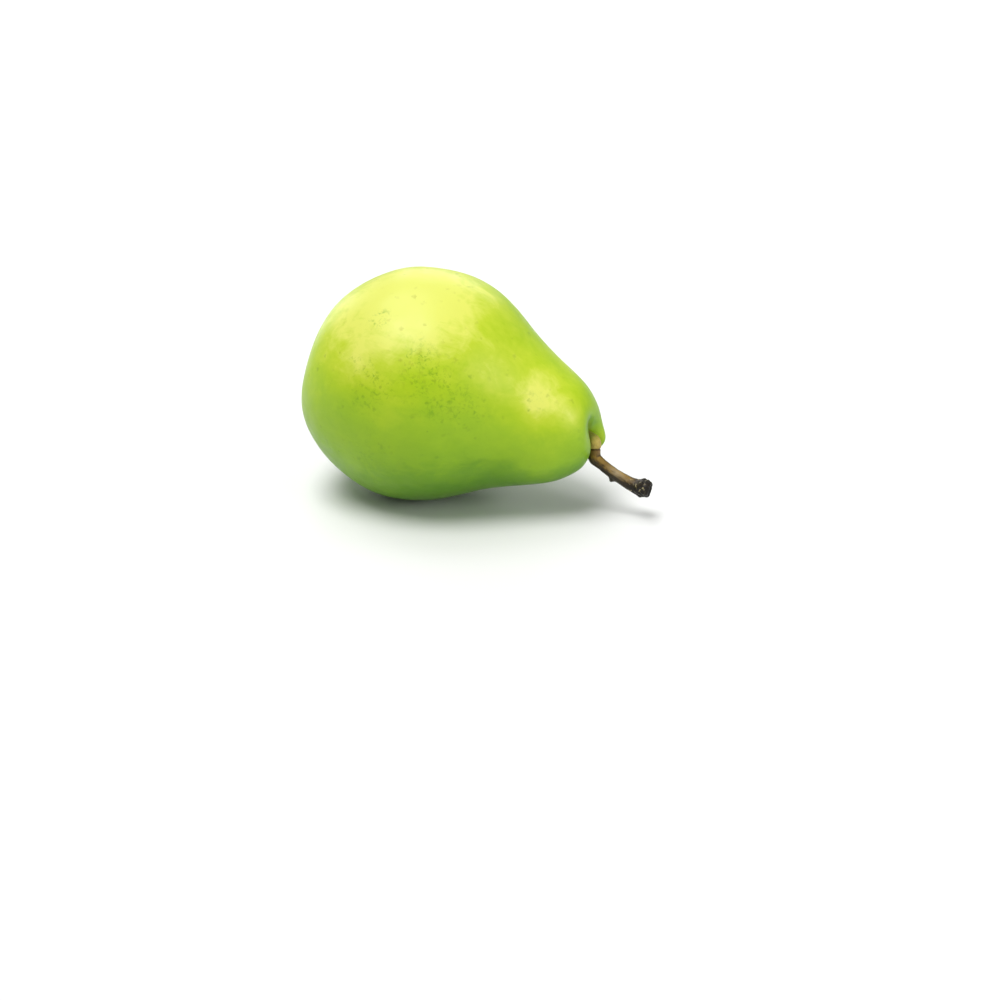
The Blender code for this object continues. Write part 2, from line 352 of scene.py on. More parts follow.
# Where specks crowd together: height, angle, reach, strength
SPECK_CLUSTERS = (
    (38.7, -126.0, 5.0, 0.9),
    (27.0, -103.0, 6.5, 1.0),
    (46.0, -112.0, 9.0, 1.0),
    (56.0, -107.0, 6.0, 0.7),
    (30.0, -72.0, 8.0, 0.6),
    (23.0, -138.0, 4.0, 0.7),
    (58.0, -134.0, 6.0, 0.1),
    (40.0, 100.0, 12.0, 0.8),
    (62.0, 60.0, 9.0, 0.7),
    (22.0, 150.0, 10.0, 0.7),
)
# Specks and smudges: size of the cells that hold one each, in mm, reach of each as a share of its
# cell, how far its edge is frayed, in mm, and seed
SPECK_KINDS = (
    (2.2, 0.40, 2.2, 1.0),
    (3.4, 0.38, 3.2, 2.0),
    (4.2, 0.13, 0.5, 3.0),
)
# How far, in metres, a seed of 1 moves a pattern of specks
SPOT_SHIFT = (0.011, 0.007, 0.0)
SPECK_CORE = 0.08
SPECK_FRAY_SIZE = 1.3
SPECK_CROWDING = 0.6

# --- Camera, light and floor --------------------------------------------------------------------
# The camera looks at the middle of the fruit. Azimuths count from the front, and elevations from level.
CAMERA_AZIMUTH = 18.0
CAMERA_ELEVATION = 20.0
CAMERA_DISTANCE = 0.650
LENS = 75.97
LENS_SHIFT = (0.0455, -0.1135)
# The key light is a sun so wide that it is soft, and it lights the floor evenly.
SUN_AZIMUTH = -28.0
SUN_ELEVATION = 70.0
SUN_ANGLE = 34.0
SUN_STRENGTH = 2.25
# name, azimuth and elevation in degrees, distance, width and height in metres, power in watts
LIGHTS = (
    ("top_light", -125.0, 68.0, 1.10, 0.55, 0.50, 3.4),
    ("front_light", 82.0, 18.0, 1.20, 0.50, 0.50, 4.6),
    ("back_light", 190.0, 22.0, 1.20, 0.80, 0.40, 2.6),
    ("rim_light", -130.0, 10.0, 1.20, 0.40, 0.60, 2.5),
)
WORLD_STRENGTH = 0.18
BACKDROP_BRIGHTNESS = 0.85
FLOOR_SIZE = 12.0
FLOOR_COLOUR = (0.86, 0.86, 0.86, 1.0)


# --- Shapes, with the CAD's own formulas --------------------------------------------------------
def ease(x, low, high):
    """0 below low, 1 above high, and a smooth step between."""
    t = np.clip((x - low) / (high - low), 0.0, 1.0)
    return t * t * (3.0 - 2.0 * t)


def bump(x, middle, width):
    """A smooth hump of height 1 round middle."""
    return np.exp(-(((x - middle) / width) ** 2))


def full_turn(count):
    """Angles evenly round a circle, from 0."""
    return np.linspace(0.0, 2.0 * math.pi, count, endpoint=False)


def spline_controls(points, before, after, passes=40):
    """Control points of the smooth cubic B-spline that passes through points.
    before and after give the neighbour beyond each end, from the controls so far."""
    controls = points.copy()
    for _ in range(passes):
        padded = np.vstack([before(controls), controls, after(controls)])
        reached = (padded[:-2] + 4.0 * padded[1:-1] + padded[2:]) / 6.0
        controls += points - reached
    return np.vstack([before(controls), controls, after(controls)])


def spline_points(controls, where):
    """Points of the cubic B-spline at the parameters in where: 0 is its first point, 1 its second."""
    span = np.minimum(where.astype(int), len(controls) - 4)
    t = (where - span)[:, None]
    weights = (
        (1.0 - t) ** 3,
        3.0 * t**3 - 6.0 * t**2 + 4.0,
        -3.0 * t**3 + 3.0 * t**2 + 3.0 * t + 1.0,
        t**3,
    )
    return sum(weight * controls[span + i] for i, weight in enumerate(weights)) / 6.0


def fruit_outline(where):
    """Height, radius and lean of the fruit's outline at the parameters in where."""
    across_axis = np.array([1.0, -1.0, 1.0])
    controls = spline_controls(
        np.array(FRUIT_OUTLINE),
        before=lambda c: c[1] * across_axis,
        after=lambda c: c[-2] * across_axis,
    )
    return spline_points(controls, where)


def lobing(height, angle):
    """The share by which the soft lobes swell the radius at this height and angle."""
    near_base = bump(height, BASE_LOBE_HEIGHT, BASE_LOBE_REACH)
    base = BASE_LOBE_SHARE * near_base * np.cos(BASE_LOBES * angle)
    belly = BELLY_LOBE_SHARE * (1.0 - near_base) * np.cos(BELLY_LOBES * angle)
    return base + belly


def round_hump(x, y, middle, spread):
    """A smooth round hump of height 1 over middle."""
    away = np.hypot(x - middle[0], y - middle[1]) / spread
    return np.exp(-(away**2))


def crown_rise(x, y):
    """How far the crown is raised or sunk, in mm: the two lips, the dip, the fold and the pit."""
    near_lip = NEAR_LIP_RISE * round_hump(x, y, NEAR_LIP_AT, LIP_SPREAD)
    far_lobe = FAR_LOBE_RISE * round_hump(x, y, FAR_LOBE_AT, LIP_SPREAD)
    dip = NEAR_DIP_DEPTH * round_hump(x, y, NEAR_DIP_AT, NEAR_DIP_SPREAD)
    fold_y = FOLD_Y + FOLD_LEAN * np.minimum(x - FOLD_FULL_X, 0.0)
    across = bump(y, fold_y, FOLD_HALF_WIDTH)
    along = ease(x, FOLD_START_X, FOLD_FULL_X) * (1.0 - ease(x, FOLD_FADE_X, FOLD_END_X))
    fold = FOLD_DEPTH * across * along
    oval = ((x - PIT_AT[0]) / PIT_HALF_LENGTH) ** 2 + ((y - PIT_AT[1]) / PIT_HALF_WIDTH) ** 2
    pit = PIT_DEPTH * np.exp(-(oval**PIT_WALL_POWER))
    sunk = (fold**MEETING_POWER + pit**MEETING_POWER) ** (1.0 / MEETING_POWER)
    return near_lip + far_lobe - dip - sunk


def fruit_surface(where, angle):
    """Points of the fruit's skin, in mm, for a grid of outline parameters and angles."""
    height, radius, lean = (row[:, None] for row in fruit_outline(where).T)
    radius = radius * (1.0 + lobing(height, angle[None, :]))
    x = radius * np.cos(angle)
    y = radius * np.sin(angle)
    on_crown = ease(height, CROWN_START, CROWN_FULL)
    z = height + on_crown * crown_rise(x, y)
    return np.stack([x + lean, y, z], axis=-1)


def basin_floor(radius):
    """Height of the basin's floor at this distance from its middle."""
    outline = fruit_outline(np.linspace(0.0, BASIN_SPANS, BASIN_SAMPLES))
    return np.interp(radius, outline[:, 1], outline[:, 0])


def direction(azimuth, elevation):
    """The unit vector from the pear towards something at that azimuth and elevation, in degrees."""
    a = math.radians(azimuth)
    e = math.radians(elevation)
    return Vector((math.sin(a) * math.cos(e), -math.cos(a) * math.cos(e), math.sin(e)))


# --- Laying the pear down -----------------------------------------------------------------------
def tipped_over(points):
    """Turned from standing to lying, in mm, not yet in its place."""
    x, y, z = np.moveaxis(points, -1, 0)
    sine = math.sin(REST_TILT)
    cosine = math.cos(REST_TILT)
    return np.stack([cosine * z - sine * x, y, -sine * z - cosine * x], axis=-1)


def find_place():
    """The offset, in mm, that puts the tipped pear where the CAD fruit lies."""
    where = np.linspace(0.0, FRUIT_LAST_SPAN, PLACE_RINGS)
    points = tipped_over(fruit_surface(where, full_turn(PLACE_SIDES))).reshape(-1, 3)
    low, high = (np.array(corner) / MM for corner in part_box("fruit"))
    middle = (points[:, 1].max() + points[:, 1].min()) / 2.0
    return np.array([
        low[0] - points[:, 0].min(),
        (low[1] + high[1]) / 2.0 - middle,
        high[2] - points[:, 2].max(),
    ])


PLACE = find_place()


def laid_down(points):
    """Points of the standing pear, in mm, as points of the lying pear, in metres."""
    return (tipped_over(points) + PLACE) * MM


# --- Meshes -------------------------------------------------------------------------------------
def noise_at(points, size, seed):
    """Smooth noise from -1 to 1, whose swells are about size mm across, at each of the points."""
    flat = (points.reshape(-1, 3) / size + seed * 17.3).tolist()
    values = np.array([noise.noise(point) for point in flat])
    return values.reshape(points.shape[:-1])


def grid_normals(grid):
    """Unit normals of a grid of rings that closes round its second axis."""
    along = np.gradient(grid, axis=0)
    around = np.roll(grid, -1, axis=1) - np.roll(grid, 1, axis=1)
    normals = np.cross(around, along)
    return normals / np.maximum(np.linalg.norm(normals, axis=-1, keepdims=True), 1e-9)


def ends_of(grid):
    """The middles of a grid's first and last rings."""
    return grid[0].mean(axis=0), grid[-1].mean(axis=0)


def tube_object(name, grid, values, tips=None):
    """A closed object over a grid of rings, in metres, with a fan to a tip at each end.
    The tips are the middles of the end rings, unless they are given. values maps attribute names to
    a number or a vector for each grid point."""
    rings, sides = grid.shape[:2]
    points = np.vstack([grid.reshape(-1, 3), *(tips or ends_of(grid))])
    start = rings * sides
    index = np.arange(start).reshape(rings, sides)
    beside = np.roll(index, -1, axis=1)
    quads = np.stack([index[:-1], beside[:-1], beside[1:], index[1:]], axis=-1).reshape(-1, 4)
    faces = quads.tolist()
    faces += [(start, beside[0, j], index[0, j]) for j in range(sides)]
    faces += [(start + 1, index[-1, j], beside[-1, j]) for j in range(sides)]
    mesh = bpy.data.meshes.new(name)
    mesh.from_pydata(points.tolist(), [], faces)
    mesh.shade_smooth()
    for key, value in values.items():
        add_attribute(mesh, key, value, (rings, sides))
    obj = bpy.data.objects.new(name, mesh)
    bpy.context.scene.collection.objects.link(obj)
    return obj


def add_attribute(mesh, key, value, shape):
    """Stores value at each grid point, and the mean of the end rings at the two tips."""
    value = np.asarray(value, float)
    vector = value.ndim == 3
    value = np.broadcast_to(value, shape + value.shape[2:])
    flat = value.reshape(shape[0] * shape[1], -1)
    flat = np.vstack([flat, *(np.reshape(end, (1, -1)) for end in ends_of(value))])
    kind, field = ("FLOAT_VECTOR", "vector") if vector else ("FLOAT", "value")
    attribute = mesh.attributes.new(key, kind, "POINT")
    attribute.data.foreach_set(field, flat.astype(np.float32).ravel())


# --- The skin -----------------------------------------------------------------------------------
def ring_parameters():
    """Where the skin's rings lie along the outline: closest in the basin and on the crown."""
    spans = []
    for first, last, per_span in SKIN_RINGS:
        spans.append(np.linspace(first, last, (last - first) * per_span, endpoint=False))
    return np.append(np.concatenate(spans), SKIN_RINGS[-1][1])


def spot_field(grid, spots):
    """The sum of soft spots on the skin: each has a height, an angle, a reach and a strength."""
    total = np.zeros(grid.shape[:2])
    wander = SPOT_WANDER * noise_at(grid, SPOT_WANDER_SIZE, SEED + 5)
    outside_basin = np.linspace(BASIN_SPANS, FRUIT_LAST_SPAN, OUTLINE_SAMPLES)
    above_rim = fruit_outline(outside_basin)
    for height, degrees, reach, strength in spots:
        radius = np.interp(height, above_rim[:, 0], above_rim[:, 1])
        angle = math.radians(degrees)
        centre = np.array([radius * math.cos(angle), radius * math.sin(angle), height])
        away = np.linalg.norm(grid - centre, axis=-1) / reach + wander
        total += strength * np.exp(-np.maximum(away, 0.0) ** 2)
    return total


def with_lumps(grid, height):
    """The grid with the shallow unevenness of the flesh."""
    normals = grid_normals(grid)
    free = 1.0 - ease(height, *LUMPS_FADE)
    for i, (size, rise) in enumerate(LUMPS):
        grid = grid + (free * rise * noise_at(grid, size, SEED + i))[..., None] * normals
    return grid


def basin_puckers(height, distance, angle):
    """How far the folds round the basin stand up, in mm, at this distance from its middle."""
    near_basin = bump(distance, BASIN_PUCKER_AT, BASIN_PUCKER_REACH) * (height < BASIN_TOP)
    folds = np.cos(BASIN_PUCKERS * angle + BASIN_PUCKER_SWAY * np.sin(2.0 * angle))
    return BASIN_PUCKER_RISE * near_basin * folds


def skin_grain(outline, angle):
    """A place for each point at which noise is drawn out along the pear."""
    steps = np.linalg.norm(np.diff(outline[:, :2], axis=0), axis=1)
    length = np.concatenate([[0.0], np.cumsum(steps)])[:, None]
    distance = outline[:, 1:2]
    x = distance * np.cos(angle)
    y = distance * np.sin(angle)
    return np.stack([x, y, SKIN_GRAIN_STRETCH * length + 0.0 * angle], axis=-1)


def settled(points):
    """Points in metres, with those that would be under the ground pressed flat onto it."""
    z = points[..., 2]
    softness = REST_SOFTNESS * MM
    raised = 0.5 * (z + np.sqrt(z**2 + softness**2))
    return np.stack([points[..., 0], points[..., 1], raised], axis=-1)


def make_skin():
    where = ring_parameters()
    angle = full_turn(SKIN_SEGMENTS)
    outline = fruit_outline(where)
    height = outline[:, :1]
    distance = outline[:, 1:2]
    even = fruit_surface(where, angle)
    grid = with_lumps(even, height)
    grid[..., 2] += basin_puckers(height, distance, angle)
    sunken = np.clip(-crown_rise(grid[..., 0], grid[..., 1]) / PIT_DEPTH, 0.0, 1.0)
    russet_from, russet_full = BASIN_RUSSET
    in_basin = ease(-distance, -russet_from, -russet_full) * (height < BASIN_TOP)
    values = {
        # facing the sun side: ripening, and also painted light, paler on top and painted shade below
        "facing_sun_and_light": grid_normals(laid_down(even)) @ np.array(direction(*SUN_AND_LIGHT_SIDE)),
        "patch": spot_field(grid, SKIN_AND_LIGHT_PATCHES),
        "speck_cluster": spot_field(grid, SPECK_CLUSTERS),
        "basin": in_basin + 0.0 * angle,
        "sunken": sunken * (height > PIT_LOWEST),
        "grain": skin_grain(outline, angle) * MM,
    }
    lying = settled(laid_down(grid))
    inner = {key: value[1:-1] for key, value in values.items()}
    skin = tube_object("pear_skin", lying[1:-1], inner, tips=ends_of(lying))
    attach(skin, "root")
    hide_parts("fruit")
    return skin


# --- The stem -----------------------------------------------------------------------------------
def stem_line(where):
    """x, y, height and radius of the stem at the parameters in where."""
    controls = spline_controls(
        np.array(STEM_PATH),
        before=lambda c: 2.0 * c[0] - c[1],
        after=lambda c: 2.0 * c[-1] - c[-2],
    )
    return spline_points(controls, where)


def stem_frames(line):
    """For each ring of the stem: its direction, the side that faces the ground, and sideways."""
    tangent = np.gradient(line[:, :3], axis=0)
    tangent /= np.linalg.norm(tangent, axis=1, keepdims=True)
    sideways = np.array([0.0, 1.0, 0.0]) - tangent * tangent[:, 1:2]
    sideways /= np.linalg.norm(sideways, axis=1, keepdims=True)
    return tangent, np.cross(sideways, tangent), sideways


def stem_radius(line, span, around):
    """The radius in mm at each point, with the crease, the knuckle, the heel and the bud's stub."""
    towards_ground = np.clip(np.cos(around), 0.0, 1.0)
    crease = CREASE_DEPTH * bump(span, CREASE_SPAN, CREASE_LENGTH)
    knuckle = KNUCKLE_RISE * bump(span, KNUCKLE_SPAN, KNUCKLE_LENGTH)
    stub = bump(span, BUD_STUB_SPAN, BUD_STUB_LENGTH) * towards_ground**BUD_STUB_NARROWNESS
    heel = bump(span, HEEL_SPAN, HEEL_LENGTH) * towards_ground**2
    return line[:, 3:4] - crease + knuckle + BUD_STUB_RISE * stub + HEEL_RISE * heel


def bark_relief(surface, span, around):
    """How far the bark's ridges and grain and the knob's lumps stand out, in mm."""
    twist = around + BARK_RIDGE_TWIST * span
    ridge_place = np.stack([
        BARK_RIDGE_DENSITY * np.cos(twist),
        BARK_RIDGE_DENSITY * np.sin(twist),
        BARK_RIDGE_STEP * span + 0.0 * around,
    ], axis=-1)
    ridges = BARK_RIDGE_RISE * ease(span, *WOODY_SPANS) * noise_at(ridge_place, 1.0, SEED)
    grain = BARK_GRAIN_RISE * noise_at(surface, BARK_GRAIN_SIZE, SEED + 2)
    lumps = 2.0 * np.abs(noise_at(surface, KNOB_LUMP_SIZE, SEED + 3)) - KNOB_LUMP_SINK
    knob = KNOB_LUMP_RISE * ease(span, KNOB_SPAN, KNOB_FULL_SPAN) * lumps
    return ridges + grain + knob


def broken_end(rim, middle, outwards):
    """Rings over the stem's broken end, from its last ring, rim, in to middle."""
    share = np.linspace(0.0, 1.0, END_RINGS + 1)[1:, None]
    edge_rise = END_EDGE_RISE * np.sin(math.pi * np.clip(share * END_EDGE_STEEPNESS, 0.0, 1.0))
    rise = edge_rise - END_HOLLOW * ease(share, *END_HOLLOW_SHARES)
    narrowing = 1.0 - END_CLOSED_SHARE * share**END_TURN_POWER
    face = middle + (rim - middle) * narrowing[..., None] + rise[..., None] * outwards
    rough = END_ROUGHNESS * noise_at(face, END_ROUGH_SIZE, SEED + 4) * ease(share, *END_ROUGH_SHARES)
    return face + rough[..., None] * outwards


def stem_grain(radius, along, around):
    """A place for each point at which noise is drawn out along the stem."""
    closing = 1.0 - np.linspace(0.0, 1.0, END_RINGS + 1)[1:, None]
    radius = np.concatenate([radius, radius[-1] * closing])
    x = radius * np.cos(around)
    y = radius * np.sin(around)
    return np.stack([x, y, STEM_GRAIN_STEP * along], axis=-1)


def make_stem():
    where = np.linspace(0.0, STEM_LAST_SPAN, STEM_RINGS)
    span = where[:, None]
    around = full_turn(STEM_SIDES)
    line = stem_line(where)
    middle = line[:, None, :3]
    tangent, down, side = stem_frames(line)
    spoke = np.cos(around)[:, None] * down[:, None] + np.sin(around)[:, None] * side[:, None]
    radius = stem_radius(line, span, around)
    radius = radius + bark_relief(middle + radius[..., None] * spoke, span, around)
    surface = middle + radius[..., None] * spoke
    end = broken_end(surface[-1], line[-1, :3], tangent[-1])
    lying = laid_down(np.concatenate([surface, end]))
    along = np.append(where, np.full(END_RINGS, END_SPAN))[:, None] + 0.0 * around
    stem = tube_object("stem_bark", lying, {
        "along": along,
        "facing_light": grid_normals(lying) @ np.array(direction(*STEM_LIT_SIDE)),
        "grain": stem_grain(radius, along, around) * MM,
    })
    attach(stem, "root")
    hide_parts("stem")
    return stem


# --- The calyx ----------------------------------------------------------------------------------
# The noise places in this part are arbitrary. They make each sepal and stamen differ, in the same way
# at each run.
def round_basin(distance, angle, height):
    """Points at a distance and an angle round the middle of the basin, at that height."""
    x = FRUIT_OUTLINE[0][2] + distance * np.cos(angle)
    y = distance * np.sin(angle)
    return np.stack(np.broadcast_arrays(x, y, height), axis=-1)


def sepal_line(number, share):
    """Distance from the basin's middle and height of a sepal's middle line, from its root to its tip,
    and the angle that it points at."""
    own = SEED + 10 * number
    curl = 1.0 + SEPAL_CURL_SPREAD * noise.noise((own * 1.3, 0.4, 0.2))
    shift = SEPAL_TURN_SPREAD * noise.noise((0.3, own * 1.1, 0.9))
    longer = SEPAL_LENGTH_SPREAD * noise.noise((0.1, 0.7, own * 0.9))
    curled = np.maximum(share - SEPAL_CURL_START, 0.0) / (1.0 - SEPAL_CURL_START)
    flat_out = SEPAL_ROOT + SEPAL_LENGTH * (1.0 + longer) * share
    out = flat_out - SEPAL_CURL_BACK * curl * curled**2
    lift = SEPAL_CLEARANCE + SEPAL_CURL_LIFT * curl * curled**1.5
    return out, basin_floor(flat_out) - lift, 2.0 * math.pi * number / SEPALS + shift


def make_sepal(number):
    """One dried sepal: a pointed leaf that lies along the basin's floor and curls at its tip."""
    own = SEED + 10 * number
    share = np.linspace(0.0, 1.0, SEPAL_RINGS)
    around = full_turn(SEPAL_SIDES)
    out, height, turn = sepal_line(number, share)
    # widest a little before its middle, and pointed
    half_width = SEPAL_WIDTH / 2.0 * (1.0 - share) ** 0.8 * (0.8 + 0.6 * np.sin(math.pi * share))
    half_thickness = SEPAL_THICKNESS / 2.0 * (1.0 - 0.6 * share)
    across = half_width[:, None] * np.cos(around)
    up = half_thickness[:, None] * np.sin(around)
    out = out[:, None] + 0.0 * across
    cupping = SEPAL_CUPPING * (across / (SEPAL_WIDTH / 2.0)) ** 2
    crinkle_place = np.stack([out, across, 0.0 * up + own], axis=-1)
    crinkle = noise_at(crinkle_place, SEPAL_CRINKLE_SIZE, own)
    across = across + SEPAL_CRINKLE_SHIFT * crinkle
    points = np.stack([
        FRUIT_OUTLINE[0][2] + out * math.cos(turn) - across * math.sin(turn),
        out * math.sin(turn) + across * math.cos(turn),
        height[:, None] + up - cupping - SEPAL_CRINKLE_DEPTH * crinkle,
    ], axis=-1)
    add_calyx_piece(f"sepal_{number + 1}", points, share[:, None] + 0.0 * across)


def make_cup():
    """The short ragged tube that the sepals and stamens stand on."""
    around = full_turn(CUP_SIDES)
    corners = np.arange(len(CUP_SECTION))
    where = np.linspace(0.0, corners[-1], CUP_RINGS)
    radii, heights = zip(*CUP_SECTION)
    radius = np.interp(where, corners, radii)[:, None]
    fall = np.interp(where, corners, heights)[:, None]
    ragged = 1.0 + CUP_SWELL_BY_SEPAL * np.cos(SEPALS * around)
    ragged = ragged + CUP_NOTCH_DEPTH * np.cos(CUP_NOTCHES * around + 1.0)
    points = round_basin(radius * ragged, around, CUP_FLOOR + fall * ragged)
    points = points + CUP_ROUGHNESS * noise_at(points, CUP_ROUGH_SIZE, SEED + 8)[..., None]
    along = np.clip(-fall / CUP_TONE_HEIGHT, 0.0, 1.0) + 0.0 * around
    add_calyx_piece("calyx_cup", points, along)


def make_stamen(number):
    """A dried thread that leans in from the cup's edge and ends in a small shrivelled knob."""
    share = np.linspace(0.0, 1.0, STAMEN_RINGS)
    around = full_turn(STAMEN_SIDES)
    shift = STAMEN_TURN_SPREAD * noise.noise((number * 1.7, 0.5, 0.1))
    lean_in = STAMEN_LEAN_IN + STAMEN_LEAN_SPREAD * noise.noise((0.2, number * 2.3, 0.7))
    length = STAMEN_LENGTH + STAMEN_LENGTH_SPREAD * noise.noise((0.9, 0.3, number * 1.9))
    swing = STAMEN_SWING * noise.noise((number * 0.8, 0.1, 0.4)) * share**2
    turn = 2.0 * math.pi * (number + shift) / STAMENS + swing
    out = CUP_RADIUS - STAMEN_INSET - lean_in * share**2
    fall = STAMEN_START + length * share * (1.0 - STAMEN_DROOP * share)
    swell = STAMEN_KNOB_SWELL * bump(share, STAMEN_KNOB_AT, STAMEN_KNOB_LENGTH)
    radius = STAMEN_RADIUS * (1.0 + swell)[:, None]
    points = round_basin(out, turn, STAMEN_FLOOR - fall)[:, None]
    spoke = np.stack([np.cos(around), np.sin(around), 0.0 * around], axis=-1)
    along = 0.4 + 0.6 * share[:, None] + 0.0 * around
    add_calyx_piece(f"stamen_{number + 1:02d}", points + radius[..., None] * spoke, along)


def add_calyx_piece(name, points, along):
    """A piece over a grid of points, in mm; along is 0 where it is darkest and 1 at its pale tip."""
    piece = tube_object(name, laid_down(points), {"along": along})
    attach(piece, "root")
    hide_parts("calyx")
    piece.data.materials.append(material_of("dried_calyx", calyx_nodes))


def make_calyx():
    for number in range(SEPALS):
        make_sepal(number)
    make_cup()
    for number in range(STAMENS):
        make_stamen(number)


# --- Materials ----------------------------------------------------------------------------------
class Shade:
    """Builds one material's nodes. An input is a number, a colour or another node's output."""

    def __init__(self, name):
        self.material = bpy.data.materials.new(name)
        self.material.use_nodes = True
        self.tree = self.material.node_tree
        self.shader = self.tree.nodes["Principled BSDF"]

    def add(self, kind, inputs=None, **settings):
        node = self.tree.nodes.new("ShaderNode" + kind)
        for key, value in settings.items():
            setattr(node, key, value)
        for key, value in (inputs or {}).items():
            self.feed(node.inputs[key], value)
        return node

    def feed(self, socket, value):
        if isinstance(value, bpy.types.NodeSocket):
            self.tree.links.new(value, socket)
        else:
            socket.default_value = value

    def set(self, **constants):
        """Sets the shader's own sockets: Coat_Weight=0.2 sets "Coat Weight"."""
        for key, value in constants.items():
            self.feed(self.shader.inputs[key.replace("_", " ")], value)

    def value(self, attribute):
        return self.add("Attribute", attribute_name=attribute).outputs["Fac"]

    def vector(self, attribute):
        return self.add("Attribute", attribute_name=attribute).outputs["Vector"]

    def place(self):
        return self.add("TexCoord").outputs["Object"]

    def noise_node(self, place, size, detail=2.0, rough=0.5, seed=0.0, warp=0.0):
        """A noise texture with swells about size mm across."""
        return self.add("TexNoise", {
            "Vector": place, "Scale": 1.0 / (size * MM), "Detail": detail,
            "Roughness": rough, "W": SEED + seed, "Distortion": warp,
        }, noise_dimensions="4D")

    def noise(self, place, size, **settings):
        """Noise from 0 to 1."""
        return self.noise_node(place, size, **settings).outputs["Fac"]

    def spots(self, place, size, seed):
        """Distance to the nearest of scattered points, one in each cell of about size mm, and two
        numbers from 0 to 1 for each cell."""
        shift = tuple(seed * part for part in SPOT_SHIFT)
        moved = self.add("VectorMath", {0: place, 1: shift}).outputs[0]
        node = self.add("TexVoronoi", {"Vector": moved, "Scale": 1.0 / (size * MM)})
        split = self.add("SeparateColor", {"Color": node.outputs["Color"]})
        return node.outputs["Distance"], split.outputs["Red"], split.outputs["Green"]

    def shaken(self, place, size, reach, seed):
        """place moved about by noise of that size, by up to about reach mm, which frays what it shapes."""
        colour = self.noise_node(place, size, seed=seed).outputs["Color"]
        centred = self.add("VectorMath", {0: colour, 1: (0.5,) * 3}, operation="SUBTRACT").outputs[0]
        push = self.add("VectorMath", {0: centred, 1: (reach * MM,) * 3}, operation="MULTIPLY")
        return self.add("VectorMath", {0: place, 1: push.outputs[0]}).outputs[0]

    def math(self, operation, a, b):
        return self.add("Math", {0: a, 1: b}, operation=operation).outputs[0]

    def plus(self, a, b):
        return self.math("ADD", a, b)

    def times(self, a, b):
        return self.math("MULTIPLY", a, b)

    def larger(self, a, b):
        return self.math("MAXIMUM", a, b)

    def swing(self, value, reach):
        """A value from 0 to 1 turned into a swing of half of reach either way."""
        return self.times(self.math("SUBTRACT", value, 0.5), reach)

    def step(self, value, low, high, out_low=0.0, out_high=1.0, smooth=True):
        """value remapped from low..high to out_low..out_high, smoothly or in a straight line."""
        node = self.add("MapRange", {
            "Value": value, "From Min": low, "From Max": high, "To Min": out_low, "To Max": out_high,
        }, interpolation_type="SMOOTHSTEP" if smooth else "LINEAR")
        return node.outputs["Result"]

    def mix(self, share, a, b):
        node = self.add("Mix", {"Factor": share}, data_type="RGBA")
        self.feed(node.inputs[6], a)
        self.feed(node.inputs[7], b)
        return node.outputs[2]

    def painted(self, colour, where, strength, paint):
        """colour with paint over it where where is 1, at that strength."""
        return self.mix(self.times(where, strength), colour, paint)

    def ramp(self, value, stops):
        """A colour ramp through (position, colour) stops."""
        node = self.add("ValToRGB", {"Fac": value})
        elements = node.color_ramp.elements
        elements.remove(elements[-1])
        elements[0].position, elements[0].color = stops[0]
        for position, colour in stops[1:]:
            elements.new(position).color = colour
        return node.outputs["Color"]

    def bumps(self, layers):
        """Chains bump nodes: each layer is (height, distance in mm, strength)."""
        normal = None
        for height, distance, strength in layers:
            node = self.add("Bump", {"Height": height, "Distance": distance * MM, "Strength": strength})
            if normal is not None:
                self.feed(node.inputs["Normal"], normal)
            normal = node.outputs["Normal"]
        self.feed(self.shader.inputs["Normal"], normal)


MATERIALS = {}


def material_of(name, build):
    """The material of that name, built the first time it is asked for."""
    if name not in MATERIALS:
        shade = Shade(name)
        build(shade)
        MATERIALS[name] = shade.material
    return MATERIALS[name]


def ripeness_and_light(s, place, grain):
    """How ripe the skin is, with painted light in it, from -1 to 1: its sun side, which also paints the
    lit top paler and the underside in shade, its patches, a few of which are painted light or shade, and
    mottling at three sizes.
    """
    mottling = (
        (0.36, s.noise(place, 24.0, detail=1.0, seed=1.0)),
        (0.48, s.noise(place, 9.0, detail=4.0, rough=0.60, seed=2.0, warp=1.0)),
        (0.30, s.noise(grain, 3.0, detail=4.0, rough=0.65, seed=3.0, warp=0.8)),
    )
    ripe_and_lit = s.plus(s.value("facing_sun_and_light"), s.value("patch"))
    for reach, mottle in mottling:
        ripe_and_lit = s.plus(ripe_and_lit, s.swing(mottle, reach))
    return ripe_and_lit


def specks(s, place, crowd):
    """1 in the middle of olive specks and smudges, which are more where crowd is high."""
    specked = 0.0
    for size, reach, fray, seed in SPECK_KINDS:
        frayed = s.shaken(place, SPECK_FRAY_SIZE, fray, seed)
        near, lot, weight = s.spots(frayed, size, seed)
        chosen = s.step(s.plus(lot, s.times(crowd, SPECK_CROWDING)), 0.84, 1.02)
        strength = s.times(chosen, s.step(weight, 0.0, 1.0, 0.3, 1.0))
        spot = s.times(s.step(near, reach, SPECK_CORE), strength)
        specked = s.larger(specked, spot)
    return specked


def russet(s, grain):
    """Streaks in the basin, and a little in the depth of the pit."""
    streaks = s.step(s.noise(grain, 2.2, detail=4.0, rough=0.65, seed=9.0), 0.38, 0.62)
    in_pit = s.times(s.step(s.value("sunken"), 0.5, 1.0), 0.5)
    return s.larger(s.times(streaks, s.value("basin")), in_pit)


